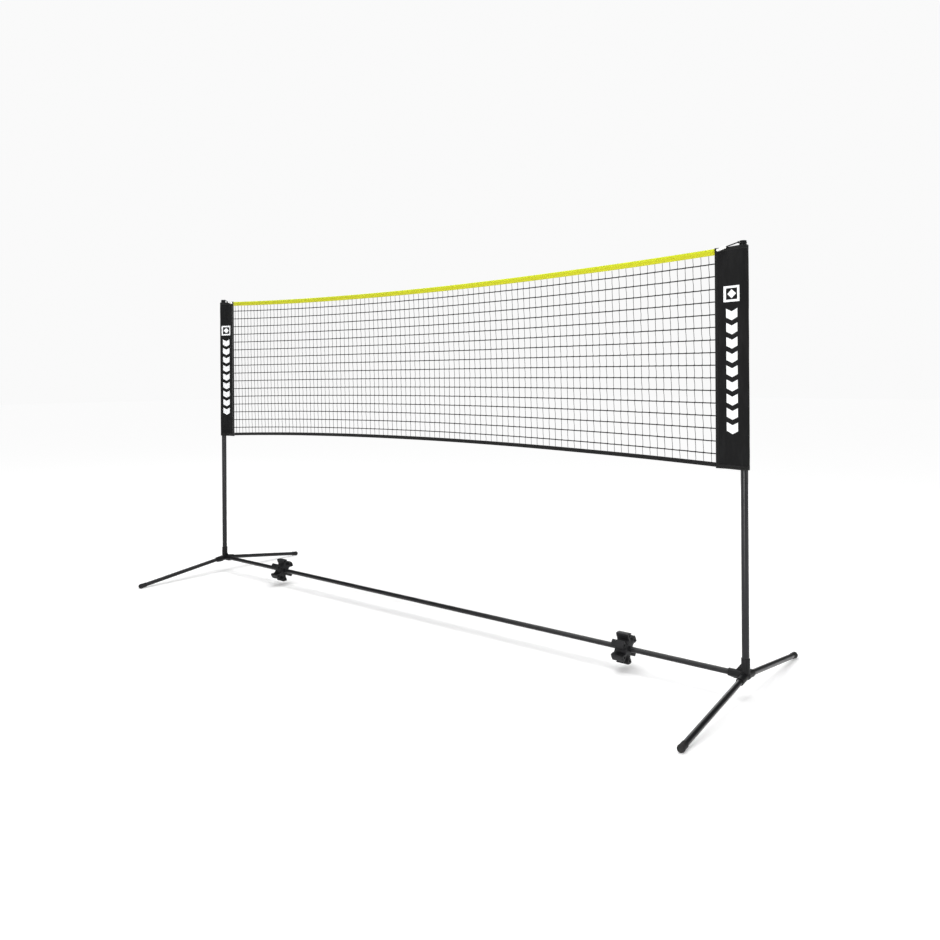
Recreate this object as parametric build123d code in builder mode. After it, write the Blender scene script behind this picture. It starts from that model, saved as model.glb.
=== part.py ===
"""Free-standing play net: two telescoping poles on cross feet, a ground bar, and a net on sleeves.

Millimetres. The origin is on the floor, midway between the poles. X runs along the ground bar,
Y from the front feet to the back feet, and Z up. Each piece is written to parts/ as its own STEP.
"""

from build123d import *
from math import atan2, cos, degrees, hypot, radians, sin, sqrt
import os

os.makedirs("parts", exist_ok=True)

# ---------------------------------------------------------------- overall sizes
pole_spacing = 3040.0  # between the two pole axes
foot_reach = 515.0  # from a pole axis to the far end of a foot cap
pole_top_z = 1536.0  # top end of an upper pole tube
bar_axis_z = 79.0  # ground bar axis above the floor

# ---------------------------------------------------------------- tubes
bar_r = 10.0
bar_wall = 1.0
bar_middle_length = 1010.0  # the middle one of the bar's three sections
ferrule_length = 100.0
ferrule_wall = 1.0
foot_r = 10.0
foot_wall = 1.0
lower_pole_r = 12.5
lower_pole_wall = 1.2
lower_pole_top_z = 900.0
upper_pole_r = 11.0
upper_pole_wall = 1.0
pole_overlap = 100.0  # upper pole left inside the lower pole at full height
plug_clearance = 0.05  # radial gap of a tube pushed into a socket
slide_clearance = 0.06  # radial gap of a guide that slides

# ---------------------------------------------------------------- hub
hub_wall = 2.0  # around the pole
hub_arm_wall = 3.4  # around the bar and the feet
hub_ball_r = 16.5
hub_top_rise = 58.0  # from the bar axis to the mouth of the pole socket
hub_seat_rise = 14.0  # from the bar axis to the pole's lower end
hub_arm_reach = 60.0  # from the pole axis to the mouth of the bar socket
hub_foot_reach = 55.0
hub_seat_reach = 18.0  # from the pole axis to the inner end of the bar and feet
hub_rib = 5.0  # thickness of the gusset and the ribs
gusset_rise = 40.0
gusset_reach = 34.0
rib_drop = 16.5  # from the bar axis to the lower edge of the rib under the bar socket
foot_rib_start = 22.0  # from the pole axis to where a foot's rib reaches its full depth
foot_rib_end = 44.0
foot_rib_drop = 21.5
hub_sink = 1.0  # how deep the gusset's foot runs into the bar socket
hub_edge_bevel = 1.0

# ---------------------------------------------------------------- foot caps
cap_bulb_r = 12.5
cap_floor_dip = 0.5  # the bulb is cut flat by this much where it rests
cap_skirt_r = 11.4
cap_skirt_length = 22.0
cap_end_solid = 6.0  # rubber between the tube end and the middle of the bulb
cap_neck_length = 12.0  # from the middle of the bulb to where the skirt runs straight
cap_skirt_bevel = 1.0

# ---------------------------------------------------------------- pole lock
collet_wall = 1.5  # round the lower pole
collet_skirt = 32.0  # over the outside of the lower pole
collet_head = 12.0  # above the lower pole
collet_slot = 1.5
collet_slot_depth = 28.0
collet_slots = 4
collar_wall = 1.6  # round the collet
collar_skirt = 40.0
collar_lip = 3.0
collar_lip_gap = 0.3  # between the lip's hole and the upper pole
collar_groove_r = 0.8
collar_grooves = 16
guide_flange = 6.0
guide_spigot = 20.0
guide_bevel = 0.6

# ---------------------------------------------------------------- pole caps
cap_plug_length = 24.0
cap_flange_r = 12.5
cap_flange = 2.0
cap_neck_r = 8.5
cap_neck = 8.0
cap_head_r = 12.0
cap_head = 4.0
cap_slot_width = 4.0
cap_slot_depth = 9.0

# ---------------------------------------------------------------- net
panel_reach = 100.0  # from a pole axis to where the sleeve's panel meets the mesh
sleeve_top_drop = 2.0  # from the upper pole's top end to the sleeve's top edge
sleeve_height = 760.0
sleeve_cloth = 1.5
sleeve_panel = 3.0
sleeve_flat = 45.0  # from the panel's inner edge to where its two layers part for the pole
sleeve_fold_r = 0.2  # half the gap between the layers where they part
sleeve_gap = 0.6  # between the lock collar and the sleeve's tunnel
mesh_thickness = 1.0
top_tape_end_drop = 13.0  # from the sleeve's top edge to the tape's middle at its ends
top_tape_sag = 32.5
top_tape_height = 22.0
top_tape_thickness = 2.4
top_hem_r = 3.4
head_cord_r = 1.75
cord_clearance = 0.1
tape_run_out = 22.0  # past the sleeve's edge, before the tapes are cut off square
bottom_tape_end_rise = 12.0  # from the sleeve's bottom edge to the tape's middle at its ends
bottom_tape_rise = 34.0  # from the ends to the middle of the net
bottom_tape_height = 15.0
bottom_tape_thickness = 3.0

# ---------------------------------------------------------------- corner ties
tie_cord_r = 2.1
tie_loop_gap = 0.3  # between the cord's loop and the cap's neck
tie_knot_r = 4.0
tie_knot_rise = 4.5  # from the cord's loop up to its knot
hook_length = 27.0  # from the button's axis to the middle of the upper end
hook_rise = 7.0  # of that, upwards
hook_half_height = 4.5
hook_thickness = 6.0
hook_edge_round = 1.4
hook_gap = 0.3  # between the hook and the sleeve's panel
hook_button_r = 2.5
hook_button_head_r = 5.0
hook_button_head = 2.0
hook_button_gap = 0.4  # around the button in the sleeve's eyelet
hook_corner_x = 12.5  # from the panel's inner edge to the button
hook_corner_z = 7.5  # from the sleeve's top edge to the button
hook_socket_depth = 8.0

# ---------------------------------------------------------------- storage clips
clip_spacing = {"left": 525.0, "right": 465.0}  # from each clip's middle to the nearer pole axis
clip_length = 50.0
clip_r = 57.0
clip_recesses = 6
clip_recess_r = 12.7
clip_recess_reach = 37.0  # from the bar axis to the middle of a recess
clip_mouth_inner = 21.0
clip_mouth_outer = 33.0
clip_lip_round = 2.0
clip_end_bevel = 0.8
clip_bar_clearance = 0.1
clip_head_core_r = 4.5  # a hole that keeps the thick lips from sinking in the mould
clip_core_reach = 46.0

# ---------------------------------------------------------------- worked-out sizes
pole_x = pole_spacing / 2
bar_joint_x = bar_middle_length / 2
bulb_axis_z = cap_bulb_r - cap_floor_dip
foot_run = foot_reach - cap_bulb_r
foot_drop = bar_axis_z - bulb_axis_z
foot_slope = degrees(atan2(foot_drop, foot_run))
foot_length = hypot(foot_run, foot_drop)  # pole axis to the middle of the bulb
lower_pole_bore_r = lower_pole_r - lower_pole_wall
upper_pole_bottom_z = lower_pole_top_z - pole_overlap + guide_flange
collet_r = lower_pole_r + collet_wall
collar_r = collet_r + collar_wall
tunnel_r = collar_r + sleeve_gap
sleeve_r = tunnel_r + sleeve_cloth
panel_inner_x = pole_x - panel_reach
sleeve_top_z = pole_top_z - sleeve_top_drop
sleeve_bottom_z = sleeve_top_z - sleeve_height
top_tape_end_z = sleeve_top_z - top_tape_end_drop
bottom_tape_end_z = sleeve_bottom_z + bottom_tape_end_rise
mirror_sides = {"left": -1, "right": 1}
depth_sides = {"front": -1, "back": 1}


def write(builder, label):
    """Label a finished piece and write it."""
    builder.part.label = label
    export_step(builder.part, f"parts/{label}.step")


def along_x(x, y=0.0, z=bar_axis_z, direction=1):
    """A plane across the X axis, whose normal runs along it."""
    return Plane(origin=(x, y, z), x_dir=(0, 1, 0), z_dir=(direction, 0, 0))


def along_foot(side, depth, distance=0.0):
    """A plane across a foot, at a distance from the pole axis, whose normal runs outwards."""
    slope = radians(foot_slope)
    run = (0.0, depth * cos(slope), -sin(slope))
    middle = (side * pole_x, run[1] * distance, bar_axis_z + run[2] * distance)
    return Plane(origin=middle, x_dir=(1, 0, 0), z_dir=run)


def tube(builder_plane, length, outer_r, wall):
    """A straight tube that starts on a plane."""
    with BuildPart() as piece:
        with BuildSketch(builder_plane):
            Circle(outer_r)
            Circle(outer_r - wall, mode=Mode.SUBTRACT)
        extrude(amount=length)
    return piece


# ================================================================ ground frame
def make_hub(name, side):
    """Four-way corner: an upright socket, a bar socket, two sloping foot sockets and their ribs."""
    x = side * pole_x
    inward = -side
    arm_r = bar_r + plug_clearance + hub_arm_wall
    foot_arm_r = foot_r + plug_clearance + hub_arm_wall
    rib_end = hub_arm_reach - hub_rib
    upright = Plane.XY.move(Location((x, 0, bar_axis_z)))
    # For each socket: the plane across it at the pole axis, its outer radius, its reach,
    # its bore's radius and where its bore starts.
    sockets = [
        (upright, lower_pole_r + plug_clearance + hub_wall, hub_top_rise, lower_pole_r, hub_seat_rise),
        (along_x(x, direction=inward), arm_r, hub_arm_reach, bar_r, hub_seat_reach),
    ]
    for depth in depth_sides.values():
        sockets.append((along_foot(side, depth), foot_arm_r, hub_foot_reach, foot_r, hub_seat_reach))
    with BuildPart() as hub:
        for across, outer_r, reach, _, _ in sockets:
            with BuildSketch(across):
                Circle(outer_r)
            extrude(amount=reach)
            mouth = hub.faces().sort_by(Axis(across.origin, across.z_dir))[-1]
            chamfer(mouth.edges(), length=hub_edge_bevel)
        with Locations((x, 0, bar_axis_z)):
            Sphere(hub_ball_r)
        # Gusset above the bar socket and rib below it.
        with BuildSketch(Plane(origin=(x, 0, bar_axis_z), x_dir=(1, 0, 0), z_dir=(0, -1, 0))):
            with BuildLine():
                Polyline(
                    (0, gusset_rise),
                    (inward * lower_pole_r, gusset_rise),
                    (inward * gusset_reach, arm_r - hub_sink),
                    (inward * rib_end, 0),
                    (inward * rib_end, -arm_r),
                    (inward * (rib_end - rib_drop), -rib_drop),
                    (0, -rib_drop),
                    close=True,
                )
            make_face()
        extrude(amount=hub_rib / 2, both=True)
        # Ribs under the foot sockets.
        for depth in depth_sides.values():
            with BuildSketch(along_x(x)):
                with BuildLine():
                    Polyline(
                        (0, 0),
                        (depth * foot_rib_end, -foot_r),
                        (depth * foot_rib_end, -foot_rib_drop),
                        (depth * foot_rib_start, -foot_rib_drop),
                        (0, -rib_drop),
                        close=True,
                    )
                make_face()
            extrude(amount=hub_rib / 2, both=True)
        for across, _, reach, bore_r, seat in sockets:
            with BuildSketch(across.offset(seat)):
                Circle(bore_r + plug_clearance)
            extrude(amount=reach - seat, mode=Mode.SUBTRACT)
    write(hub, f"hub_{name}")


def make_foot(name, side, depth_name, depth):
    """A sloping foot tube and the bulbous rubber cap on its end, flat where it rests."""
    tube_length = foot_length - cap_end_solid - hub_seat_reach
    foot = tube(along_foot(side, depth, hub_seat_reach), tube_length, foot_r, foot_wall)
    write(foot, f"foot_tube_{depth_name}_{name}")

    skirt_start = -cap_end_solid - cap_skirt_length
    axis_plane = along_foot(side, depth, foot_length)
    profile_plane = Plane(origin=axis_plane.origin, x_dir=axis_plane.x_dir, z_dir=-axis_plane.y_dir)
    with BuildPart() as cap:
        with BuildSketch(profile_plane):
            with BuildLine():
                tip = (0, cap_bulb_r)
                waist = (cap_bulb_r, 0)
                bulb = (cap_bulb_r * sin(radians(45)), cap_bulb_r * sin(radians(45)))
                ThreePointArc(tip, bulb, waist)
                neck = (cap_skirt_r, -cap_neck_length)
                rim = (cap_skirt_r - cap_skirt_bevel, skirt_start)
                Spline(waist, neck, tangents=[(0, -1), (0, -1)])
                Polyline(neck, (cap_skirt_r, skirt_start + cap_skirt_bevel), rim, (0, skirt_start), tip)
            make_face()
        revolve(axis=Axis(axis_plane.origin, axis_plane.z_dir))
        with BuildSketch(axis_plane.offset(skirt_start)):
            Circle(foot_r + plug_clearance)
        extrude(amount=cap_skirt_length, mode=Mode.SUBTRACT)
        split(bisect_by=Plane.XY, keep=Keep.TOP)
    write(cap, f"foot_cap_{depth_name}_{name}")


def make_ground_bar():
    """Three bar sections end to end, with a ferrule inside each joint."""
    end_x = pole_x - hub_seat_reach
    spans = {
        "left": (-end_x, -bar_joint_x),
        "middle": (-bar_joint_x, bar_joint_x),
        "right": (bar_joint_x, end_x),
    }
    for name, (start, end) in spans.items():
        section = tube(along_x(start), end - start, bar_r, bar_wall)
        write(section, f"ground_bar_{name}")
    for name, side in mirror_sides.items():
        start = side * bar_joint_x - ferrule_length / 2
        ferrule_r = bar_r - bar_wall - plug_clearance
        ferrule = tube(along_x(start), ferrule_length, ferrule_r, ferrule_wall)
        write(ferrule, f"bar_ferrule_{name}")


# ================================================================ telescoping poles
def make_lower_pole(name, side):
    """The fixed outer tube of a pole."""
    seat_z = bar_axis_z + hub_seat_rise
    foot_plane = Plane.XY.move(Location((side * pole_x, 0, seat_z)))
    pole = tube(foot_plane, lower_pole_top_z - seat_z, lower_pole_r, lower_pole_wall)
    write(pole, f"lower_pole_{name}")


def make_collet(name, side):
    """A slotted bush on the lower pole's end that grips the upper pole when it is squeezed."""
    x = side * pole_x
    with BuildPart() as collet:
        with BuildSketch(Plane.XY.move(Location((x, 0, lower_pole_top_z - collet_skirt)))):
            Circle(collet_r)
            Circle(lower_pole_r + plug_clearance, mode=Mode.SUBTRACT)
        extrude(amount=collet_skirt)
        with BuildSketch(Plane.XY.move(Location((x, 0, lower_pole_top_z)))):
            Circle(collet_r)
            Circle(upper_pole_r + slide_clearance, mode=Mode.SUBTRACT)
        extrude(amount=collet_head)
        slot_floor_z = lower_pole_top_z + collet_head - collet_slot_depth
        with BuildSketch(Plane.XY.move(Location((x, 0, slot_floor_z)))):
            with PolarLocations(collet_r, collet_slots):
                Rectangle(collet_r, collet_slot)
        extrude(amount=collet_slot_depth, mode=Mode.SUBTRACT)
    write(collet, f"pole_collet_{name}")


def make_lock_collar(name, side):
    """The ribbed nut that turns on the collet to squeeze it."""
    x = side * pole_x
    lip_z = lower_pole_top_z + collet_head + slide_clearance
    with BuildPart() as collar:
        with BuildSketch(Plane.XY.move(Location((x, 0, lip_z - collar_skirt)))):
            Circle(collar_r)
            Circle(collet_r + slide_clearance, mode=Mode.SUBTRACT)
        extrude(amount=collar_skirt)
        with BuildSketch(Plane.XY.move(Location((x, 0, lip_z)))):
            Circle(collar_r)
            Circle(upper_pole_r + collar_lip_gap, mode=Mode.SUBTRACT)
        extrude(amount=collar_lip)
        with BuildSketch(Plane.XY.move(Location((x, 0, lip_z - collar_skirt)))):
            with PolarLocations(collar_r, collar_grooves):
                Circle(collar_groove_r)
        extrude(amount=collar_skirt, mode=Mode.SUBTRACT)
    write(collar, f"lock_collar_{name}")


def make_upper_pole(name, side):
    """The sliding inner tube of a pole and the guide bush in its lower end."""
    x = side * pole_x
    base = Plane.XY.move(Location((x, 0, upper_pole_bottom_z)))
    pole = tube(base, pole_top_z - upper_pole_bottom_z, upper_pole_r, upper_pole_wall)
    write(pole, f"upper_pole_{name}")

    with BuildPart() as guide:
        with BuildSketch(base.offset(-guide_flange)):
            Circle(lower_pole_bore_r - slide_clearance)
        extrude(amount=guide_flange)
        with BuildSketch(base):
            Circle(upper_pole_r - upper_pole_wall - plug_clearance)
        extrude(amount=guide_spigot)
        chamfer(guide.edges().group_by(Axis.Z)[0], length=guide_bevel)
    write(guide, f"pole_guide_{name}")


def make_pole_cap(name, side):
    """A plug with a waisted, slotted head that the net's corner cord loops round."""
    x = side * pole_x
    plug_z = pole_top_z - cap_plug_length
    neck_z = pole_top_z + cap_flange
    head_z = neck_z + cap_neck
    with BuildPart() as cap:
        with BuildSketch(Plane.XY.move(Location((x, 0, plug_z)))):
            Circle(upper_pole_r - upper_pole_wall - plug_clearance)
        extrude(amount=cap_plug_length)
        with BuildSketch(Plane.XY.move(Location((x, 0, pole_top_z)))):
            Circle(cap_flange_r)
        extrude(amount=cap_flange)
        with BuildSketch(Plane.XY.move(Location((x, 0, neck_z)))):
            Circle(cap_neck_r)
        extrude(amount=cap_neck)
        with BuildSketch(Plane.XY.move(Location((x, 0, head_z)))):
            Circle(cap_head_r)
        extrude(amount=cap_head)
        fillet(cap.edges().group_by(Axis.Z)[-1], radius=cap_head / 2)
        slot_z = head_z + cap_head - cap_slot_depth
        with BuildSketch(Plane.XY.move(Location((x, 0, slot_z)))):
            Rectangle(cap_flange_r * 2, cap_slot_width)
        extrude(amount=cap_slot_depth, mode=Mode.SUBTRACT)
    write(cap, f"pole_cap_{name}")


# ================================================================ net
class Sag:
    """A shallow circular sweep across the net: its end height, its middle height and offsets."""

    def __init__(self, end_z, middle_z):
        rise = abs(end_z - middle_z)
        self.sign = 1 if end_z > middle_z else -1
        self.radius = (panel_inner_x**2 + rise**2) / (2 * rise)
        self.centre_z = middle_z + self.sign * self.radius

    def z(self, x, offset=0.0):
        """Height at x of the curve that runs at an offset above this one."""
        radius = self.radius - self.sign * offset
        return self.centre_z - self.sign * sqrt(radius**2 - x**2)

    def arc(self, x, offset=0.0):
        """The curve between -x and x, in the XZ plane, from left to right."""
        end = self.z(x, offset)
        return ThreePointArc((-x, end), (0, self.z(0, offset)), (x, end))


top_sag = Sag(top_tape_end_z, top_tape_end_z - top_tape_sag)
bottom_sag = Sag(bottom_tape_end_z, bottom_tape_end_z + bottom_tape_rise)
# The hem's round edge stands at the top of the tape.
hem_offset = top_tape_height / 2 - top_hem_r


def swept(sag, offset, end_x, draw_section):
    """A section swept along a sagging curve between -end_x and end_x."""
    with BuildPart() as piece:
        with BuildLine(Plane.XZ) as route:
            sag.arc(end_x, offset)
        across = Plane(origin=route.line @ 0, x_dir=(0, 1, 0), z_dir=route.line % 0)
        with BuildSketch(across):
            draw_section()
        sweep(path=route.line)
    return piece


def cut_square(piece):
    """Cut a swept piece off square where it meets the sleeves' panels."""
    with BuildPart() as trimmed:
        add(piece.part)
        split(bisect_by=Plane.YZ.offset(panel_inner_x), keep=Keep.BOTTOM)
        split(bisect_by=Plane.YZ.offset(-panel_inner_x), keep=Keep.TOP)
    return trimmed


def make_tapes():
    """The top tape with its cord hem, the head cord inside it, and the bottom tape."""

    def top_shape():
        low = -(top_tape_height - top_hem_r)
        with Locations((0, low / 2)):
            Rectangle(top_tape_thickness, -low)
        Circle(top_hem_r)
        Circle(head_cord_r + cord_clearance, mode=Mode.SUBTRACT)

    run_out_x = panel_inner_x + tape_run_out
    cord_end_x = panel_inner_x - head_cord_r
    write(cut_square(swept(top_sag, hem_offset, run_out_x, top_shape)), "top_tape")
    write(swept(top_sag, hem_offset, cord_end_x, lambda: Circle(head_cord_r)), "head_cord")

    def bottom_shape():
        Rectangle(bottom_tape_thickness, bottom_tape_height)

    write(cut_square(swept(bottom_sag, 0, run_out_x, bottom_shape)), "bottom_tape")


def make_mesh():
    """The netting between the tapes, as one thin sheet of its outline."""
    upper = -top_tape_height / 2
    lower = bottom_tape_height / 2
    left_bottom = (-panel_inner_x, bottom_sag.z(panel_inner_x, lower))
    left_top = (-panel_inner_x, top_sag.z(panel_inner_x, upper))
    right_bottom = (panel_inner_x, left_bottom[1])
    right_top = (panel_inner_x, left_top[1])
    with BuildPart() as mesh:
        with BuildSketch(Plane.XZ):
            with BuildLine():
                top_sag.arc(panel_inner_x, upper)
                bottom_sag.arc(panel_inner_x, lower)
                Line(left_bottom, left_top)
                Line(right_bottom, right_top)
            make_face()
        extrude(amount=mesh_thickness / 2, both=True)
    write(mesh, "net_mesh")


def hook_button(side):
    """Where the hook's button goes through the sleeve's corner, in the XZ plane."""
    return (side * (panel_inner_x + hook_corner_x), sleeve_top_z - hook_corner_z)


def make_sleeve(name, side):
    """Two layers of cloth that part into a pocket round the pole, with an eyelet for the corner hook."""

    def pocket(pole_end_r, fold_end_r):
        fold_x = side * (panel_inner_x + sleeve_flat)
        ends = {side * pole_x: pole_end_r, fold_x: fold_end_r}
        circles = [Pos(x, 0) * Circle(radius, mode=Mode.PRIVATE) for x, radius in ends.items()]
        return [edge for circle in circles for edge in circle.edges()]

    with BuildPart() as sleeve:
        with BuildSketch(Plane.XY.offset(sleeve_bottom_z)):
            with Locations((side * (panel_inner_x + sleeve_flat / 2), 0)):
                Rectangle(sleeve_flat, sleeve_panel)
            make_hull(pocket(sleeve_r, sleeve_panel / 2))
            make_hull(pocket(tunnel_r, sleeve_fold_r), mode=Mode.SUBTRACT)
        extrude(amount=sleeve_top_z - sleeve_bottom_z)
        with BuildSketch(Plane.XZ):
            with Locations(hook_button(side)):
                Circle(hook_button_r + hook_button_gap)
        extrude(amount=sleeve_panel, both=True, mode=Mode.SUBTRACT)
    write(sleeve, f"sleeve_{name}")


def make_corner_tie(name, side):
    """The hook buttoned to the sleeve's corner, and the cord from it to the pole cap."""
    button_x, button_z = hook_button(side)
    slope = atan2(hook_rise, sqrt(hook_length**2 - hook_rise**2))
    tip_x = button_x + side * hook_length * cos(slope)
    tip_z = button_z + hook_rise
    middle = ((button_x + tip_x) / 2, (button_z + tip_z) / 2)
    front_y = -sleeve_panel / 2 - hook_gap
    cord_y = front_y - hook_thickness / 2
    loop_r = cap_neck_r + tie_loop_gap + tie_cord_r
    loop_z = pole_top_z + cap_flange + cap_neck / 2
    loop_start = Vector(side * (pole_x - loop_r), 0, loop_z)
    knot_reach = cap_head_r + tie_loop_gap + tie_knot_r
    knot = Vector(side * (pole_x - knot_reach), 0, loop_z + tie_knot_rise)
    socket_end = Vector(tip_x, cord_y, tip_z)
    pull = (knot - socket_end).normalized()
    socket_floor = socket_end + pull * (hook_half_height - hook_socket_depth)

    with BuildPart() as hook:
        with BuildSketch(Plane.XZ.offset(-front_y)):
            with Locations(Location(middle, side * degrees(slope))):
                SlotCenterToCenter(hook_length, hook_half_height * 2)
        extrude(amount=hook_thickness)
        fillet(hook.faces().sort_by(Axis.Y)[0].edges(), radius=hook_edge_round)
        back_reach = sleeve_panel + hook_gap * 2
        with BuildSketch(Plane.XZ.offset(-front_y)):
            with Locations((button_x, button_z)):
                Circle(hook_button_r)
        extrude(amount=-back_reach)
        with BuildSketch(Plane.XZ.offset(-front_y - back_reach)):
            with Locations((button_x, button_z)):
                Circle(hook_button_head_r)
        extrude(amount=-hook_button_head)
        with BuildSketch(Plane(origin=socket_floor, z_dir=pull)):
            Circle(tie_cord_r + cord_clearance)
        extrude(amount=hook_length, mode=Mode.SUBTRACT)
    write(hook, f"tension_hook_{name}")

    with BuildPart() as cord:
        with BuildSketch(Plane(origin=loop_start, z_dir=(0, 1, 0))):
            Circle(tie_cord_r)
        revolve(axis=Axis((side * pole_x, 0, loop_z), (0, 0, 1)))
        with BuildSketch(Plane(origin=knot, z_dir=loop_start - knot)):
            Circle(tie_cord_r)
        extrude(amount=(loop_start - knot).length)
        with Locations(knot):
            Sphere(tie_knot_r)
        with BuildSketch(Plane(origin=socket_floor, z_dir=pull)):
            Circle(tie_cord_r)
        extrude(amount=(knot - socket_floor).length)
    write(cord, f"tie_cord_{name}")


# ================================================================ storage clips
def make_storage_clip(name, side):
    """A block on the ground bar with snap recesses all round for the packed tubes."""
    turn = 360 / clip_recesses
    mouth_run = clip_r - clip_recess_reach + clip_lip_round
    middle_x = side * (pole_x - clip_spacing[name])
    start = along_x(middle_x - clip_length / 2)
    with BuildPart() as clip:
        with BuildSketch(start) as profile:
            Circle(clip_r)
            with PolarLocations(clip_recess_reach, clip_recesses):
                Circle(clip_recess_r, mode=Mode.SUBTRACT)
                with Locations((mouth_run / 2, 0)):
                    Trapezoid(
                        clip_mouth_outer,
                        mouth_run,
                        degrees(atan2(2 * mouth_run, clip_mouth_outer - clip_mouth_inner)),
                        rotation=90,
                        mode=Mode.SUBTRACT,
                    )
            lips = profile.vertices().filter_by(lambda corner: hypot(corner.X, corner.Y) > clip_recess_reach)
            fillet(lips, radius=clip_lip_round)
        extrude(amount=clip_length)
        chamfer(clip.faces().filter_by(Axis.X).edges(), length=clip_end_bevel)
        with BuildSketch(start):
            Circle(bar_r + clip_bar_clearance)
            with PolarLocations(clip_core_reach, clip_recesses, start_angle=turn / 2):
                Circle(clip_head_core_r)
        extrude(amount=clip_length, mode=Mode.SUBTRACT)
    write(clip, f"storage_clip_{name}")


make_ground_bar()
make_tapes()
make_mesh()
for side_name, side_sign in mirror_sides.items():
    make_hub(side_name, side_sign)
    for depth_name, depth_sign in depth_sides.items():
        make_foot(side_name, side_sign, depth_name, depth_sign)
    make_lower_pole(side_name, side_sign)
    make_collet(side_name, side_sign)
    make_lock_collar(side_name, side_sign)
    make_upper_pole(side_name, side_sign)
    make_pole_cap(side_name, side_sign)
    make_sleeve(side_name, side_sign)
    make_corner_tie(side_name, side_sign)
    make_storage_clip(side_name, side_sign)
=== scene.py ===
"""Looks of a free-standing play net: netting, tapes, cloth sleeves, cords and every finish.

Metres. X runs along the ground bar, Y from the front feet to the back feet, and Z up from the
floor. Tubes, hubs, caps, collars, bushes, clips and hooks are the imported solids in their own
finishes. Netting, tapes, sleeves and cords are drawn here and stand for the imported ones.
"""

import bpy
import math
import random

from mathutils import Matrix, Vector, noise


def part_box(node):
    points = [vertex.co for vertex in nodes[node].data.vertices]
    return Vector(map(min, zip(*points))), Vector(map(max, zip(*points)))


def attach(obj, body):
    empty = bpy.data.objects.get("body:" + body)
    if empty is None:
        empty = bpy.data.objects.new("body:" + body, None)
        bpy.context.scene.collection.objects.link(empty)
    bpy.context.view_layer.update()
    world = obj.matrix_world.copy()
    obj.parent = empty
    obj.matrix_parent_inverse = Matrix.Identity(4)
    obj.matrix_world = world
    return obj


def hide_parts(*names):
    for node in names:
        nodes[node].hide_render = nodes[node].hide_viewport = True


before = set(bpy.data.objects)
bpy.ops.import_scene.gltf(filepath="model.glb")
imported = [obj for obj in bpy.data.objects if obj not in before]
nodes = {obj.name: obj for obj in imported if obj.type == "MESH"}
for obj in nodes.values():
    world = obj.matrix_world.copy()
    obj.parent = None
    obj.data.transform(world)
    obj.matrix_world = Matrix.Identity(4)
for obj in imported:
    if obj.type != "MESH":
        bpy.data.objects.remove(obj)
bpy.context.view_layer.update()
chance = random.Random(5)
sides = {"left": -1, "right": 1}


# ---------------------------------------------------------------- finishes
class Signal:
    """A number or direction that varies over a finish. Arithmetic on it adds Math nodes."""

    def __init__(self, finish, socket):
        self.finish = finish
        self.socket = socket

    def maths(self, operation, *values):
        return self.finish.node("ShaderNodeMath", {"operation": operation}, dict(enumerate(values)))

    def __add__(self, other):
        return self.maths("ADD", self, other)

    def __sub__(self, other):
        return self.maths("SUBTRACT", self, other)

    def __rsub__(self, other):
        return self.maths("SUBTRACT", other, self)

    def __mul__(self, other):
        return self.maths("MULTIPLY", self, other)

    def __truediv__(self, other):
        return self.maths("DIVIDE", self, other)

    def __gt__(self, other):
        return self.maths("GREATER_THAN", self, other)

    def __lt__(self, other):
        return self.maths("LESS_THAN", self, other)

    def size(self):
        return self.maths("ABSOLUTE", self)

    def wave(self):
        return self.maths("SINE", self)

    def part(self):
        return self.maths("FRACT", self)


class Finish:
    """A surface finish on one Principled shader, with one method that adds any other node."""

    def __init__(self, name, fixed):
        self.material = bpy.data.materials.new(name)
        self.material.use_nodes = True
        self.tree = self.material.node_tree
        self.shader = self.tree.nodes["Principled BSDF"]
        self.relief = None
        for socket, value in fixed.items():
            self.shader.inputs[socket].default_value = value

    def node(self, kind, settings=None, inputs=None, output=0):
        made = self.tree.nodes.new(kind)
        for setting, value in (settings or {}).items():
            setattr(made, setting, value)
        for socket, value in (inputs or {}).items():
            if isinstance(value, Signal):
                self.tree.links.new(value.socket, made.inputs[socket])
            else:
                made.inputs[socket].default_value = value
        return Signal(self, made.outputs[output])

    def feed(self, socket, signal):
        self.tree.links.new(signal.socket, self.shader.inputs[socket])

    def place(self):
        return self.node("ShaderNodeTexCoord", output="Object")

    def stretched(self, scales):
        settings = {"operation": "MULTIPLY"}
        return self.node("ShaderNodeVectorMath", settings, {0: self.place(), 1: scales})

    def axes(self, direction):
        return [self.node("ShaderNodeSeparateXYZ", None, {0: direction}, axis) for axis in range(3)]

    def cloth_place(self):
        """How far across and along the flat cloth a point lies, in metres."""
        flat = self.node("ShaderNodeAttribute", {"attribute_name": "cloth"}, output="Vector")
        return self.axes(flat)[:2]

    def noise(self, scale, detail=2.0, place=None, rough=0.5):
        inputs = {"Vector": place or self.place(), "Scale": scale, "Detail": detail, "Roughness": rough}
        return self.node("ShaderNodeTexNoise", None, inputs, "Fac")

    def between(self, signal, low, high):
        """The signal stretched so that low gives 0 and high gives 1, and held there outside them."""
        inputs = {"Value": signal, "From Min": low, "From Max": high}
        return self.node("ShaderNodeMapRange", {"clamp": True}, inputs)

    def mixed(self, share, first, second):
        """A colour between two colours."""
        return self.node("ShaderNodeMix", {"data_type": "RGBA"}, {0: share, 6: first, 7: second}, 2)

    def bump(self, height, strength, distance):
        """Raise the surface by a height, on top of any bump before it."""
        inputs = {"Strength": strength, "Distance": distance, "Height": height}
        if self.relief:
            inputs["Normal"] = self.relief
        self.relief = self.node("ShaderNodeBump", None, inputs)
        self.feed("Normal", self.relief)

    def dress(self, *node_names):
        """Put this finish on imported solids."""
        for name in node_names:
            mesh = nodes[name].data
            mesh.materials.clear()
            mesh.materials.append(self.material)


def rgb(red, green, blue):
    return (red, green, blue, 1.0)


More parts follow.
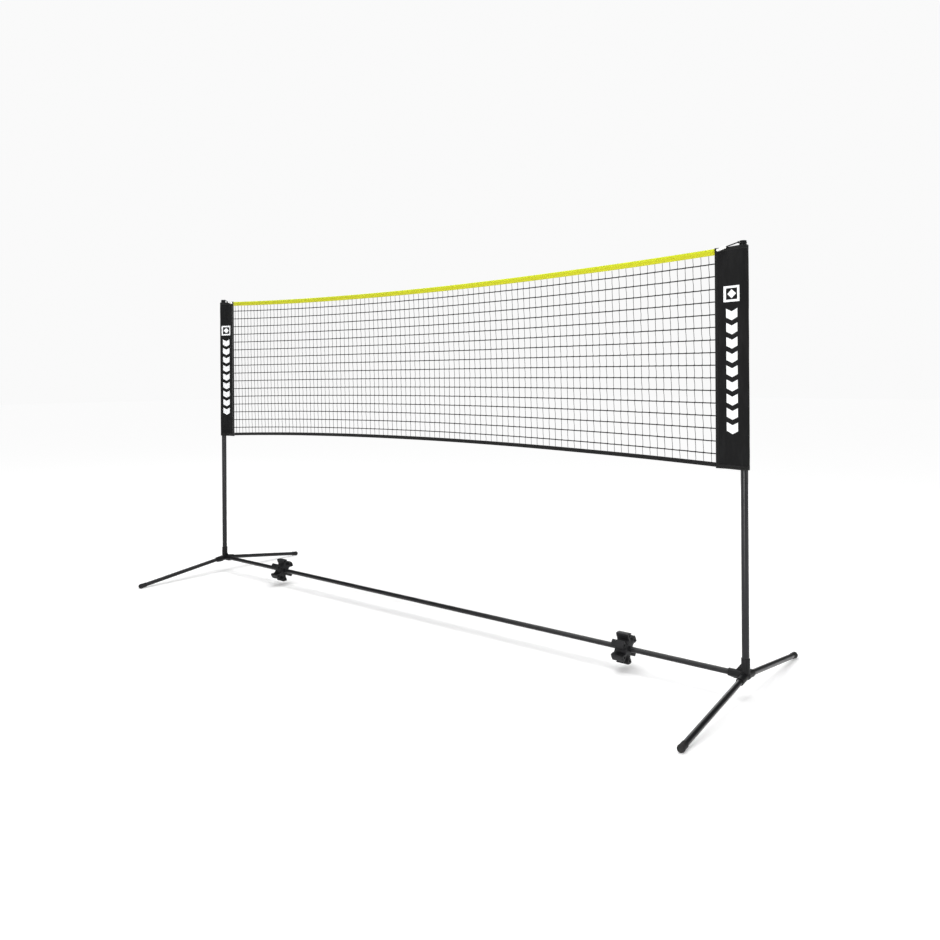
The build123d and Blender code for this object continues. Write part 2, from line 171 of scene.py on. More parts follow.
def powder_coat(name, colour, worn, shine, along):
    """Powder-coated steel: orange peel, faint rub marks along the tube and a little dust."""
    rub_scale = 260.0
    dust_scale = 14.0
    peel_scale = 430.0
    coat = Finish(name, {"Specular IOR Level": 0.27, "Coat Roughness": 0.05, "Coat IOR": 1.35})
    rubs = coat.noise(rub_scale, 3.0, coat.stretched(along), 0.6)
    rub = coat.between(rubs, 0.60, 0.74)
    dust = coat.between(coat.noise(dust_scale, 4.0), 0.45, 0.8)
    coat.feed("Base Color", coat.mixed(rub * 0.35 + dust * 0.25, colour, worn))
    coat.feed("Roughness", rub * 0.12 + dust * 0.10 + shine)
    coat.feed("Coat Weight", 0.30 - dust * 0.2)
    coat.bump(coat.noise(peel_scale, 1.0), 0.10, 0.0004)
    coat.bump(rubs, 0.05, 0.0002)
    return coat


def moulded(name, colour, worn, roughness, grain_scale):
    """Moulded plastic with a fine spark-eroded grain and paler rubbed patches."""
    flow_scale = 22.0
    scuff_scale = 75.0
    plastic = Finish(name, {"Specular IOR Level": 0.22})
    grain = plastic.noise(grain_scale, 3.0, rough=0.65)
    flow = plastic.between(plastic.noise(flow_scale, 4.0), 0.42, 0.78)
    scuffs = plastic.noise(scuff_scale, 5.0, plastic.stretched((1.0, 0.35, 1.0)))
    scuff = plastic.between(scuffs, 0.62, 0.78)
    plastic.feed("Base Color", plastic.mixed(flow * 0.35 + scuff * 0.4, colour, worn))
    plastic.feed("Roughness", flow * 0.08 + grain * 0.10 + roughness)
    plastic.bump(grain, 0.35, 0.0003)
    plastic.bump(flow, 0.12, 0.0006)
    return plastic


def rubber_finish():
    """Matt rubber, dusty where it meets the floor."""
    grain_scale = 900.0
    dust_scale = 60.0
    dusty_height = 0.010
    rubber = Finish("black_rubber", {"Specular IOR Level": 0.3})
    height = rubber.axes(rubber.place())[2]
    grain = rubber.noise(grain_scale, 3.0, rough=0.7)
    low_dust = rubber.between(height, dusty_height, 0.0)
    patches = rubber.between(rubber.noise(dust_scale, 4.0), 0.5, 0.8)
    dust = low_dust * 0.6 + patches * 0.3
    clean = rgb(0.008, 0.008, 0.0085)
    dusty = rgb(0.055, 0.053, 0.050)
    rubber.feed("Base Color", rubber.mixed(dust, clean, dusty))
    rubber.feed("Roughness", dust * 0.15 + 0.68)
    rubber.bump(grain, 0.4, 0.0003)
    return rubber


def plain_weave(finish, across, along, pitch):
    """Height of a plain weave: its threads pass over each other by turns."""
    turn = math.pi / pitch
    warp = (across * turn).wave()
    weft = (along * turn).wave()
    over = warp * weft > 0.0
    return warp.size() * over + weft.size() * (1.0 - over)


def stitches(across, along, row, pitch):
    """1 on each stitch of a row that runs along the cloth."""
    on_row = (across - row).size() < stitch_half_width
    return on_row * ((along / pitch).part() < stitch_share)


def oxford_cloth():
    """Black oxford polyester with a plain white chevron print down the front panel."""
    slub_scale = 34.0
    fade_scale = 420.0
    crumple_scale = 90.0
    cloth = Finish("black_oxford_cloth", {
        "Sheen Weight": 0.025,
        "Sheen Roughness": 0.4,
        "Sheen Tint": rgb(0.5, 0.5, 0.55),
        "Specular IOR Level": 0.14,
    })
    across, along = cloth.cloth_place()
    weave = plain_weave(cloth, across, along, oxford_pitch)
    slub = cloth.noise(slub_scale, 5.0, cloth.stretched((1.0, 1.0, 0.3)))
    rubbed = cloth.between(slub, 0.48, 0.8)
    fresh = rgb(0.0055, 0.0055, 0.0058)
    paler = rgb(0.014, 0.014, 0.0145)
    fabric = cloth.mixed(rubbed * 0.7 + weave * 0.2, fresh, paler)
    off_middle = (across - print_middle).size()
    point = along - off_middle * print_slope - print_start
    chevron = (point / print_pitch).part() < print_share
    column = (off_middle < print_width / 2) * (point > 0.0)
    chevrons = column * (point < print_length) * chevron
    badge_rise = (along - print_badge).size() * badge_squash
    corner = badge_rise.maths("MAXIMUM", badge_rise, off_middle)
    frame_or_diamond = (corner > badge_inner) + (badge_rise + off_middle < badge_diamond)
    badge = (corner < badge_outer) * frame_or_diamond
    ink = chevrons + badge
    fading = cloth.between(cloth.noise(fade_scale, 3.0), 0.55, 0.8)
    faded = ink * (1.0 - fading * 0.35)
    cloth.feed("Base Color", cloth.mixed(faded, fabric, rgb(0.86, 0.87, 0.88)))
    cloth.feed("Roughness", 0.86 - ink * 0.22 - weave * 0.06)
    cloth.bump(weave, 0.30, 0.00025)
    cloth.bump(cloth.noise(crumple_scale, 3.0), 0.18, 0.0012)
    return cloth


def woven_tape(name, colour, painted_shade, thread, stitch_rows, gloss, flank):
    """Close-woven tape, stitched in rows, with painted shade on its flanks: the colour turns to the shade
    colour between two distances from its shade line, while the hem stays bright.
    """
    wear_scale = 26.0
    tape = Finish(name, {"Sheen Weight": 0.15, "Sheen Roughness": 0.4, "Specular IOR Level": gloss})
    across, along = tape.cloth_place()
    weave = plain_weave(tape, across, along, tape_pitch)
    ribs = (across * (math.pi / rib_pitch)).wave().size()
    wear = tape.between(tape.noise(wear_scale, 5.0), 0.42, 0.8)
    sewn = stitches(across, along, stitch_rows[0], stitch_pitch)
    for row in stitch_rows[1:]:
        sewn = sewn + stitches(across, along, row, stitch_pitch)
    # Painted shade: the flanks below the rounded hem are painted darker, as if they lay in shade.
    painted_shade_share = tape.between((across - painted_shade_line).size(), *flank)
    body = tape.mixed(wear * 0.12 + weave * 0.08 + painted_shade_share * 0.5, colour, painted_shade)
    tape.feed("Base Color", tape.mixed(sewn, body, thread))
    tape.feed("Roughness", 0.80 - weave * 0.08 - sewn * 0.15)
    tape.bump(weave + ribs * 0.6, 0.28, 0.0002)
    tape.bump(sewn, 0.5, 0.0004)
    return tape


def yarn(name, colour, tip, pitch, fixed):
    """Laid or braided cord: strands that wind round it show as slanting ridges."""
    lean = 1.4
    fuzz_scale = 1400.0
    cord = Finish(name, fixed)
    across, depth, height = cord.axes(cord.place())
    slant = (across + depth * lean + height) * (math.pi / pitch)
    counter = (across - depth * lean - height) * (math.pi / pitch)
    ridge = slant.wave().size() * 0.6 + counter.wave().size() * 0.4
    fuzz = cord.noise(fuzz_scale, 2.0)
    cord.feed("Base Color", cord.mixed(ridge * 0.7 + fuzz * 0.3, colour, tip))
    cord.feed("Roughness", 0.9 - ridge * 0.12)
    cord.bump(ridge, 0.45, 0.0002)
    return cord


# ---------------------------------------------------------------- places
sleeve_low, sleeve_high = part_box("sleeve_right")
pole_low, pole_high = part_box("upper_pole_right")
top_low, top_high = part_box("top_tape")
bottom_low, bottom_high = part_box("bottom_tape")
pole_x = (pole_low.x + pole_high.x) / 2
panel_edge = sleeve_low.x
hem_r = 0.0034
top_half_gap = 0.00085
bottom_hem_r = 0.00115
bottom_half_gap = 0.00114
head_cord_r = 0.00175
tie_cord_r = 0.0021
hook_end_r = 0.0045
top_height = 0.022
bottom_height = 0.015
tape_cloth = 0.0007
sleeve_cloth = 0.0008
trim_cloth = 0.0005
sleeve_flat = 0.045
layer_y = 0.0008
pocket_r = 0.0169
binding_y = 0.00142

# The white print: a column of chevrons, and above it a square frame with a diamond in it.
print_middle = 0.063
print_width = 0.046
print_pitch = 0.0485
print_chevrons = 9
print_length = print_pitch * (print_chevrons - 0.3)
print_start = 0.120
print_slope = 0.45
print_share = 0.62
print_badge = 0.5985
badge_squash = 1.18
badge_outer = 0.032
badge_inner = 0.023
badge_diamond = 0.018

# Weaves, ribs and stitches of the cloths.
oxford_pitch = 0.00055
tape_pitch = 0.00045
rib_pitch = 0.0016
stitch_pitch = 0.0042
stitch_share = 0.68
stitch_half_width = 0.0005
# Across a tape, the line from which its painted shade sets in on the flanks.
painted_shade_line = 0.0247


class Sweep:
    """A shallow arc across the net, from its height at the ends and in the middle."""

    def __init__(self, end_z, middle_z):
        rise = abs(end_z - middle_z)
        self.way = 1 if end_z > middle_z else -1
        self.radius = (panel_edge ** 2 + rise ** 2) / (2 * rise)
        self.centre_z = middle_z + self.way * self.radius

    def at(self, x, above=0.0):
        """A point above the arc at x, measured square to the arc."""
        radius = self.radius - self.way * above
        return self.centre_z - self.way * math.sqrt(radius ** 2 - x ** 2)


top_arc = Sweep(top_high.z - top_height / 2, top_low.z + top_height / 2)
bottom_arc = Sweep(bottom_low.z + bottom_height / 2, bottom_high.z - bottom_height / 2)


# ---------------------------------------------------------------- making cloth and cord
def cloth_piece(name, rows, thickness, finish, body="net"):
    """Cloth through rows of (point, across, along); its thickness is added on both faces."""
    width = len(rows[0])
    spots = [spot for row in rows for spot in row]
    faces = [
        (i * width + j, i * width + j + 1, (i + 1) * width + j + 1, (i + 1) * width + j)
        for i in range(len(rows) - 1)
        for j in range(width - 1)
    ]
    mesh = bpy.data.meshes.new(name)
    mesh.from_pydata([spot[0] for spot in spots], [], faces)
    flat = mesh.attributes.new("cloth", "FLOAT_VECTOR", "POINT")
    flat.data.foreach_set("vector", [number for spot in spots for number in (spot[1], spot[2], 0.0)])
    mesh.polygons.foreach_set("use_smooth", [True] * len(faces))
    mesh.materials.append(finish.material)
    piece = bpy.data.objects.new(name, mesh)
    bpy.context.scene.collection.objects.link(piece)
    cloth = piece.modifiers.new("cloth", "SOLIDIFY")
    cloth.thickness = thickness
    cloth.offset = 0.0
    cloth.use_even_offset = True
    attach(piece, body)
    return piece


def cord_piece(name, lines, radius, finish, body="net", sides_round=1, ring=False):
    """Cords along lines of (point, thickness share), all in one piece."""
    curve = bpy.data.curves.new(name, "CURVE")
    curve.dimensions = "3D"
    curve.bevel_depth = radius
    curve.bevel_resolution = sides_round
    curve.use_fill_caps = True
    for line in lines:
        strand = curve.splines.new("POLY")
        strand.points.add(len(line) - 1)
        for knot, (place, share) in zip(strand.points, line):
            knot.co = (*place, 1.0)
            knot.radius = share
        strand.use_cyclic_u = ring
        strand.use_smooth = True
    curve.materials.append(finish.material)
    piece = bpy.data.objects.new(name, curve)
    bpy.context.scene.collection.objects.link(piece)
    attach(piece, body)
    return piece


# ---------------------------------------------------------------- netting
mesh_columns = 96
mesh_rows = 17
mesh_pitch = 0.0295
mesh_hidden = 0.27
thread_r = 0.00100
row_thread_r = 0.0022
thread_slant = 0.0009
thread_lean = 0.006
tape_overlap = 0.002
knot_drift = 0.0007
column_bow = 0.0006
column_belly = 0.0010
row_belly = 0.0005
row_dip = 0.0007
tuck_length = 0.0045
tuck_share = 0.4
row_inside = 0.002
row_tuck = 0.006
row_tuck_share = 0.25
# Each knot swells the thread: (rise, thickness share, slant).
knot_shape = (
    (-0.0034, 1.0, -1.0),
    (-0.0021, 1.9, -0.55),
    (0.0, 2.6, 0.0),
    (0.0021, 1.9, 0.55),
    (0.0034, 1.0, 1.0),
)


def row_height(row):
    """A row's share of the netting's height; the tapes cover part of the first and last meshes."""
    share = (row - mesh_hidden) / (mesh_rows - 2 * mesh_hidden)
    return max(0.0, min(1.0, share))


def column_x(column, share):
    """Where a thread of the netting crosses a share of its height; the threads lean a little."""
    return (column - (mesh_columns - 1) / 2) * mesh_pitch + thread_lean * (0.5 - share)


def net_point(x, share):
    """A point of the netting at x, a share of the way up from the bottom tape to the top tape."""
    inside = max(-panel_edge, min(panel_edge, x))
    low = bottom_arc.at(x, bottom_height / 2 - tape_overlap)
    high = top_arc.at(x, tape_overlap - top_height / 2)
    return Vector((x, sway(inside, share), low + (high - low) * share))


def make_netting(twine):
    """Knotted square netting: threads down it, rows across it, and a knot at each crossing."""
    columns = []
    for column in range(mesh_columns):
        thread = []
        for row in range(mesh_rows + 1):
            x = column_x(column, row_height(row))
            knot = net_point(x, row_height(row))
            if 0 < row < mesh_rows:
                knot = knot + Vector((chance.uniform(-knot_drift, knot_drift), 0, 0))
                for rise, share, lean in knot_shape:
                    thread.append((knot + Vector((thread_slant * lean, 0, rise)), share))
            else:
                way = 1 if row == 0 else -1
                tucked = [(knot, tuck_share), (knot + Vector((0, 0, way * tuck_length)), 1.0)]
                thread += tucked[::way]
            if row < mesh_rows:
                middle = net_point(x, row_height(row + 0.5))
                bow = chance.uniform(-column_bow, column_bow)
                belly = chance.uniform(-column_belly, column_belly)
                thread.append((middle + Vector((bow, belly, 0)), 1.0))
        columns.append(thread)
    rows = []
    for row in range(1, mesh_rows):
        height = row_height(row)
        thread = [
            (net_point(-panel_edge - row_tuck, height), row_tuck_share),
            (net_point(-panel_edge + row_inside, height), 1.0),
        ]
        for column in range(mesh_columns):
            x = column_x(column, height)
            thread.append((net_point(x, height), 1.0))
            if column < mesh_columns - 1:
                belly = chance.uniform(-row_belly, row_belly)
                dip = chance.uniform(-row_dip, 0.0)
                middle = net_point(x + mesh_pitch / 2, height)
                thread.append((middle + Vector((0, belly, dip)), 1.0))
        thread += [
            (net_point(panel_edge - row_inside, height), 1.0),
            (net_point(panel_edge + row_tuck, height), row_tuck_share),
        ]
        rows.append(thread)
    netting = cord_piece("netting_threads", columns, thread_r, twine)
    cord_piece("netting_rows", rows, row_thread_r, twine)
    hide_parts("net_mesh")


# ---------------------------------------------------------------- tapes
def measured(points):
    """Each point of a section with its distance along the section."""
    across = 0.0
    section = []
    for place, point in enumerate(points):
        if place:
            across += math.dist(point, points[place - 1])
        section.append((*point, across))
    return section


def folded_section(height, hem, half_gap):
    """A strip folded over a cord: (depth, rise, across) up the front, round the hem, down the back."""
    hem_steps = 18
    middle = height / 2 - hem
    turn = math.pi - math.asin(half_gap / hem)
    flank = [(half_gap, middle - (height - hem) * share) for share in (1.0, 0.75, 0.5, 0.3)]
    bends = [turn * (2 * step / hem_steps - 1) for step in range(hem_steps + 1)]
    round_hem = [(hem * math.sin(bend), middle + hem * math.cos(bend)) for bend in bends]
    return measured([(-depth, rise) for depth, rise in flank] + round_hem + flank[::-1])


def sway(x, share):
    """How far the hung net leans front to back, fading out at the sleeves."""
    long_wave = 0.0011
    short_wave = 0.0006
    deepest = 0.004
    hold = 1.0 - (x / panel_edge) ** 8
    tape_wave = long_wave * math.sin(5.3 * x + 0.7) + short_wave * math.sin(13.0 * x)
    belly = deepest * math.sin(math.pi * share) * math.sin(2.1 * x + 0.9)
    return hold * (tape_wave + belly)


def make_tape(name, arc, share, section, finish, node):
    """A folded tape along its arc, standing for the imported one."""
    stations = 284
    rows = []
    for station in range(stations + 1):
        x = panel_edge * (2 * station / stations - 1)
        row = []
        for depth, rise, across in section:
            place = Vector((x, depth + sway(x, share), arc.at(x, rise)))
            row.append((place, across, x + panel_edge))
        rows.append(row)
    tape = cloth_piece(name, rows, tape_cloth, finish)
    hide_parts(node)


def make_head_cord(finish):
    """The cord inside the top tape's hem."""
    stations = 60
    end = panel_edge - head_cord_r
    line = []
    for station in range(stations + 1):
        x = end * (2 * station / stations - 1)
        line.append(((x, sway(x, 1.0), top_arc.at(x, top_height / 2 - hem_r)), 1.0))
    cord = cord_piece("head_cord_line", [line], head_cord_r, finish)
    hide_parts("head_cord")


# ---------------------------------------------------------------- sleeves
# A hem's fold as (stand from the cloth, rise from its edge), and the binding's front half as
# (reach from the inner edge, depth).
hem_fold = ((0.00062, 0.014), (0.00066, 0.007), (0.00062, 0.0008), (0.00035, 0.0), (-0.0001, 0.0))
binding_wrap = [
    (0.012, -binding_y),
    (0.006, -binding_y),
    (0.0006, -binding_y),
    (-0.0002, -0.0008),
    (-0.0003, 0.0),
]


def half_way_round():
    """The front half of a right sleeve's plan, from its inner edge to the far side of the pole."""
    flat_steps = 12
    round_steps = 20
    bend_reach = 0.004
    fold_x = panel_edge + sleeve_flat
    reach = pole_x - fold_x
    turn = math.acos((pocket_r - layer_y) / reach)
    touch = Vector((pole_x - pocket_r * math.cos(turn), -pocket_r * math.sin(turn)))
    fold = Vector((fold_x, -layer_y))
    plan = [Vector((panel_edge + sleeve_flat * step / flat_steps, -layer_y)) for step in range(flat_steps)]
    soft = fold.lerp(touch, 0.12)
    before = Vector((fold_x - bend_reach, -layer_y))
    plan += [before.lerp(fold, share).lerp(fold.lerp(soft, share), share) for share in (0.35, 0.7, 1.0)]
    plan += [fold.lerp(touch, share) for share in (0.22, 0.34, 0.46, 0.58, 0.70, 0.82, 0.91)]
    for step in range(round_steps + 1):
        angle = math.pi + turn + (math.pi - turn) * step / round_steps
        plan.append(Vector((pole_x + pocket_r * math.cos(angle), pocket_r * math.sin(angle))))
    return plan


def sleeve_plan():
    """The whole way round a right sleeve: (point, outward direction, across)."""
    front = half_way_round()
    plan = front + [Vector((spot.x, -spot.y)) for spot in reversed(front[:-1])]
    route = []
    across = 0.0
    for place, spot in enumerate(plan):
        if place:
            across += (spot - plan[place - 1]).length
        ahead = plan[min(place + 1, len(plan) - 1)] - plan[max(place - 1, 0)]
        outward = Vector((ahead.y, -ahead.x)).normalized()
        route.append((spot, outward, across))
    return route


def fullness(across, whole, height, side):
    """How far the cloth stands out from taut: soft upright folds that die away at hems and edges."""
    edge_reach = 0.02
    hem_share = 0.06
    deepest = 0.0012
    along = (height - sleeve_low.z) / (sleeve_high.z - sleeve_low.z)
    at_edge = min(1.0, min(across, whole - across) / edge_reach)
    at_hem = min(1.0, min(along, 1.0 - along) / hem_share)
    ends = at_edge * at_hem
    upright = noise.noise(Vector((across * 26.0, height * 4.5, 3.1 * side)))
    slanting = noise.noise(Vector((across * 34.0 + height * 16.0, height * 7.0, 9.4 * side)))
    return deepest * ends * max(0.0, 0.45 + 0.8 * upright + 0.5 * slanting)


def make_sleeve(name, side, cloth, binding):
    """The cloth pocket round a pole, its hems and the binding on its inner edge."""
    steps = 110
    binding_steps = 76
    binding_inset = 0.0004
    route = sleeve_plan()
    whole = route[-1][2]
    rows = []
    for step in range(steps + 1):
        z = sleeve_low.z + (sleeve_high.z - sleeve_low.z) * step / steps
        row = []
        for spot, outward, across in route:
            place = spot + outward * fullness(across, whole, z, side)
            row.append((Vector((side * place.x, place.y, z)), across, z - sleeve_low.z))
        rows.append(row)
    pocket = cloth_piece(f"sleeve_cloth_{name}", rows, sleeve_cloth, cloth)
    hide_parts(f"sleeve_{name}")

    for end, edge_z, way in (("top", sleeve_high.z, -1), ("bottom", sleeve_low.z, 1)):
        hem_rows = []
        fold = measured(hem_fold)
        for spot, outward, along in route:
            row = []
            for stand, rise, across in fold:
                place = spot + outward * stand
                row.append((Vector((side * place.x, place.y, edge_z + way * rise)), across, along))
            hem_rows.append(row)
        cloth_piece(f"sleeve_hem_{end}_{name}", hem_rows, trim_cloth, binding)

    wrap = binding_wrap + [(reach, -depth) for reach, depth in reversed(binding_wrap[:-1])]
    rows = []
    for step in range(binding_steps + 1):
        bound = sleeve_high.z - sleeve_low.z - 2 * binding_inset
        z = sleeve_low.z + binding_inset + bound * step / binding_steps
        row = []
        for reach, depth, across in measured(wrap):
            row.append((Vector((side * (panel_edge + reach), depth, z)), across, z))
        rows.append(row)
    cloth_piece(f"sleeve_binding_{name}", rows, trim_cloth, binding)


# ---------------------------------------------------------------- corner cords
tie_strand_r = tie_cord_r * 0.6
tie_lays = 10
loop_drop = 0.008
knot_reach = 0.0163
knot_rise = 0.0045
knot_line_r = 0.0013
hook_lip = 0.003
# Close to upright and along no cord, so it always gives a cord a side.
any_slant = Vector((0.03, 0.02, 1.0))


def laid_strands(points, radius, lay, closed=False):
    """Three strands that wind round a line of points, as lines of (point, thickness share)."""
    strands = [[], [], []]
    run = 0.0
    for place, point in enumerate(points):
        if place:
            run += (point - points[place - 1]).length
        following = points[(place + 1) % len(points)] if closed else points[min(place + 1, len(points) - 1)]
        previous = points[place - 1] if closed or place else point
        ahead = (following - previous).normalized()
        side = ahead.cross(any_slant).normalized()
        up = side.cross(ahead)
        for number, strand in enumerate(strands):
            angle = 2 * math.pi * (run / lay + number / 3)
            strand.append((point + (side * math.cos(angle) + up * math.sin(angle)) * radius * 0.5, 1.0))
    return strands


def make_tie(name, side, finish):
    """The corner cord: a loop round the cap's waist, a knot, and a taut run into the hook."""
    low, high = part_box(f"tie_cord_{name}")
    hook_low, hook_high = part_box(f"tension_hook_{name}")
    loop_r = (high.y - low.y) / 2 - tie_cord_r
    loop_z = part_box(f"pole_cap_{name}")[1].z - loop_drop
    middle = Vector((side * pole_x, 0.0, loop_z))
    knot = Vector((side * (pole_x - knot_reach), 0.0, loop_z + knot_rise))
    tip_x = hook_high.x if side > 0 else hook_low.x
    tip = Vector((tip_x - side * hook_end_r, hook_low.y + hook_lip, hook_high.z - hook_end_r))
    socket = tip + (tip - knot).normalized() * hook_lip

    steps = 84
    lay = 2 * math.pi * loop_r / tie_lays
    ring = []
    for step in range(steps):
        angle = 2 * math.pi * step / steps
        ring.append(middle + Vector((loop_r * math.cos(angle), loop_r * math.sin(angle), 0.0)))
    strands = laid_strands(ring, tie_cord_r, lay, closed=True)
    loop = cord_piece(
        f"tie_loop_{name}", strands, tie_strand_r, finish, sides_round=2, ring=True,
    )
    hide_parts(f"tie_cord_{name}")

    start = middle + Vector((-side * loop_r, 0.0, 0.0))
    short_steps = 6
    long_steps = 40
    run = [start.lerp(knot, step / short_steps) for step in range(short_steps + 1)]
    run += [knot.lerp(socket, step / long_steps) for step in range(1, long_steps + 1)]
    strands = laid_strands(run, tie_cord_r, lay)
    cord_piece(f"tie_run_{name}", strands, tie_strand_r, finish, sides_round=2)

    # The knot is a trefoil: three lobes, wound twice round the cord.
    knot_steps = 60
    turns = []
    for step in range(knot_steps):
        angle = 2 * math.pi * step / knot_steps
        spread = 0.0021 + 0.0009 * math.cos(3 * angle)
        turns.append(knot + Vector((
            0.0009 * math.sin(3 * angle),
            spread * math.cos(2 * angle),
            spread * math.sin(2 * angle),
        )))
    line = [(point, 1.0) for point in turns]
    cord_piece(f"tie_knot_{name}", [line], knot_line_r, finish, sides_round=3, ring=True)


# ---------------------------------------------------------------- studio
def make_studio():
    """A pale floor, a pale surround and soft lamps all round."""
    lamp_height = 3.6
    floor_half = 40
    air_light = 0.12
    air_seen = 0.955
    glow_far = rgb(0.86, 0.86, 0.86)
    glow_near = rgb(0.04, 0.04, 0.04)
    floor_finish = Finish("studio_floor", {
        "Base Color": rgb(0.88, 0.88, 0.88),
        "Roughness": 0.9,
        "Specular IOR Level": 0.1,
        "Emission Strength": 1.0,
    })
    # The floor glows where the top lamp's light falls away, so it stays evenly pale to the horizon.
    x, y, _ = floor_finish.axes(floor_finish.place())
    spread = (x * x + y * y) / lamp_height ** 2 + 1.0
    lit = spread.maths("DIVIDE", 1.0, spread * spread)
    floor_finish.feed("Emission Color", floor_finish.mixed(lit, glow_far, glow_near))
    mesh = bpy.data.meshes.new("floor")
    corners = [(-1, -1), (1, -1), (1, 1), (-1, 1)]
    mesh.from_pydata([(floor_half * i, floor_half * j, 0) for i, j in corners], [], [(0, 1, 2, 3)])
    mesh.materials.append(floor_finish.material)
    floor = bpy.data.objects.new("floor", mesh)
    bpy.context.scene.collection.objects.link(floor)

    world = bpy.data.worlds.new("surround")
    bpy.context.scene.world = world
    world.use_nodes = True
    air = world.node_tree.nodes["Background"]
    air.inputs["Color"].default_value = rgb(1.0, 1.0, 1.0)
    air.inputs["Strength"].default_value = air_light
    clear = world.node_tree.nodes.new("ShaderNodeBackground")
    clear.inputs["Color"].default_value = rgb(1.0, 1.0, 1.0)
    clear.inputs["Strength"].default_value = air_seen
    seen = world.node_tree.nodes.new("ShaderNodeLightPath")
    either = world.node_tree.nodes.new("ShaderNodeMixShader")
    output = world.node_tree.nodes["World Output"]
    world.node_tree.links.new(seen.outputs["Is Camera Ray"], either.inputs[0])
    world.node_tree.links.new(air.outputs[0], either.inputs[1])
    world.node_tree.links.new(clear.outputs[0], either.inputs[2])
    world.node_tree.links.new(either.outputs[0], output.inputs["Surface"])

    # Each lamp's name, place, target, width, height and watts.
    lamps = (
        ("top_lamp", (0.0, 0.0, lamp_height), (0.0, 0.01, 0.0), 4.4, 3.0, 138.0),
        ("low_lamp", (1.69, -1.9, 0.55), (1.52, 0.0, 0.55), 0.7, 1.1, 9.0),
        ("key_lamp", (-1.8, -4.8, 3.4), (0.0, 0.0, 0.9), 2.6, 2.6, 70.0),
        ("strip_lamp", (2.0, -4.4, 1.1), (0.9, 0.0, 0.9), 1.0, 2.6, 60.0),
        ("back_lamp", (-1.0, 4.8, 2.6), (0.0, 0.0, 0.9), 2.6, 2.6, 60.0),
        ("side_lamp", (5.2, 0.4, 2.0), (0.6, 0.0, 0.9), 0.9, 3.2, 60.0),
    )
    for name, place, target, wide, tall, power in lamps:
        light = bpy.data.lights.new(name, "AREA")
        light.shape = "RECTANGLE"
        light.size = wide
        light.size_y = tall
        light.energy = power
        lamp = bpy.data.objects.new(name, light)
        lamp.location = place
        lamp.rotation_euler = (Vector(target) - Vector(place)).to_track_quat("-Z", "Y").to_euler()
        lamp.visible_camera = False
        bpy.context.scene.collection.objects.link(lamp)


def make_camera():
    """The view from the front right, level with the lower half of the netting."""
    turn = math.radians(38.693)
    level = math.radians(90.0)
    roll = -0.00633
    place = (2.5496, -2.6862, 1.0861)
    lens = bpy.data.cameras.new("camera")
    lens.sensor_width = 36.0
    lens.lens = 31.02
    lens.shift_x = -0.0160
    lens.shift_y = -0.0965
    lens.clip_end = 200.0
    camera = bpy.data.objects.new("camera", lens)
    turned = Matrix.Rotation(turn, 4, "Z") @ Matrix.Rotation(level, 4, "X")
    rolled = turned @ Matrix.Rotation(roll, 4, "Z")
    camera.matrix_world = Matrix.Translation(place) @ rolled
    bpy.context.scene.collection.objects.link(camera)
    bpy.context.scene.camera = camera
    bpy.context.scene.view_settings.view_transform = "Standard"


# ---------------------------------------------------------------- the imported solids' finishes
along_bar = (0.05, 1.0, 1.0)
along_foot = (1.0, 0.05, 1.0)
along_pole = (1.0, 1.0, 0.05)
gloss_black = rgb(0.0035, 0.0035, 0.0055)
gloss_worn = rgb(0.020, 0.020, 0.025)
steel_black = rgb(0.007, 0.007, 0.008)
steel_worn = rgb(0.035, 0.035, 0.037)
gloss_coat = powder_coat("gloss_black_steel", gloss_black, gloss_worn, 0.20, along_pole)
bar_coat = powder_coat("black_steel", steel_black, steel_worn, 0.28, along_bar)
foot_coat = powder_coat("black_steel_feet", steel_black, steel_worn, 0.28, along_foot)
hub_plastic = moulded("moulded_black", rgb(0.0025, 0.0025, 0.003), rgb(0.013, 0.013, 0.014), 0.42, 1500.0)
clip_plastic = moulded("clip_plastic", rgb(0.010, 0.010, 0.011), rgb(0.036, 0.036, 0.039), 0.46, 1100.0)
bush_nylon = moulded("grey_nylon", rgb(0.22, 0.22, 0.23), rgb(0.34, 0.34, 0.34), 0.45, 900.0)
hook_plastic = moulded("white_plastic", rgb(0.80, 0.80, 0.79), rgb(0.62, 0.61, 0.58), 0.34, 1600.0)
rubber = rubber_finish()

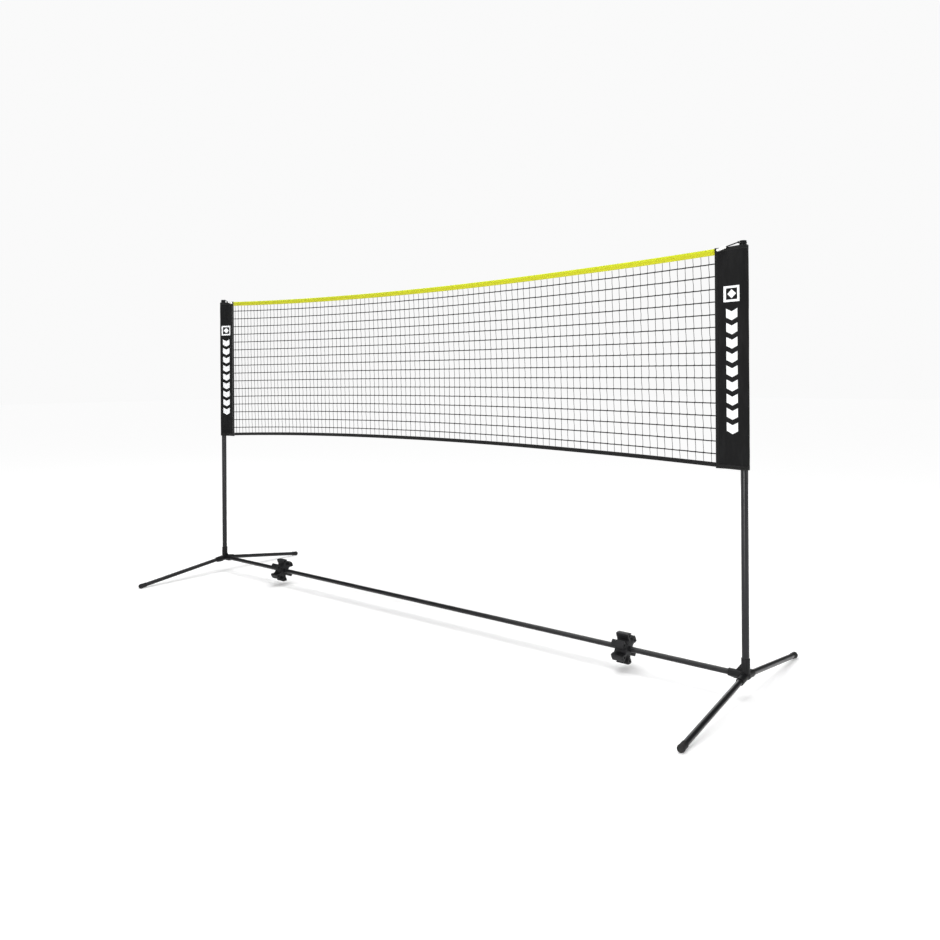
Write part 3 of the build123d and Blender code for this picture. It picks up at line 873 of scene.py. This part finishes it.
bar_coat.dress("ground_bar_left", "ground_bar_middle", "ground_bar_right")
for side in sides:
    gloss_coat.dress(f"lower_pole_{side}", f"upper_pole_{side}")
    bar_coat.dress(f"bar_ferrule_{side}")
    hub_plastic.dress(f"hub_{side}", f"pole_cap_{side}", f"lock_collar_{side}")
    bush_nylon.dress(f"pole_collet_{side}", f"pole_guide_{side}")
    clip_plastic.dress(f"storage_clip_{side}")
    hook_plastic.dress(f"tension_hook_{side}")
    for end in ("front", "back"):
        foot_coat.dress(f"foot_tube_{end}_{side}")
        rubber.dress(f"foot_cap_{end}_{side}")

# ---------------------------------------------------------------- the soft pieces
twine_sheen = {"Specular IOR Level": 0.15}
cord_sheen = {"Specular IOR Level": 0.12}
twine = yarn("net_twine", rgb(0.006, 0.006, 0.006), rgb(0.028, 0.028, 0.028), 0.0012, twine_sheen)
cord_finish = yarn("black_cord", rgb(0.004, 0.004, 0.004), rgb(0.022, 0.022, 0.022), 0.0014, cord_sheen)
oxford = oxford_cloth()
# The lime tape's shade colour is painted shade, darker and golden, on the flanks below its lit hem.
lime = woven_tape(
    "lime_tape",
    colour=rgb(0.51, 0.57, 0.009),
    painted_shade=rgb(0.46, 0.42, 0.010),
    thread=rgb(0.60, 0.62, 0.06),
    stitch_rows=(0.0035, 0.0145),
    gloss=0.25,
    flank=(0.0085, 0.0125),
)
# The black tape's shade colour is painted shade on its flanks as well.
black = woven_tape(
    "black_tape",
    colour=rgb(0.004, 0.004, 0.004),
    painted_shade=rgb(0.010, 0.010, 0.010),
    thread=rgb(0.024, 0.024, 0.024),
    stitch_rows=(0.0030, 0.0105),
    gloss=0.15,
    flank=(0.010, 0.016),
)
make_netting(twine)
top_section = folded_section(top_height, hem_r - tape_cloth / 2, top_half_gap)
make_tape("top_tape_cloth", top_arc, 1.0, top_section, lime, "top_tape")
fold = folded_section(bottom_height, bottom_hem_r, bottom_half_gap)
bottom_section = [(depth, -rise, across) for depth, rise, across in fold]
make_tape("bottom_tape_cloth", bottom_arc, 0.0, bottom_section, black, "bottom_tape")
make_head_cord(cord_finish)
for name, side in sides.items():
    make_sleeve(name, side, oxford, black)
    make_tie(name, side, cord_finish)

make_studio()
make_camera()
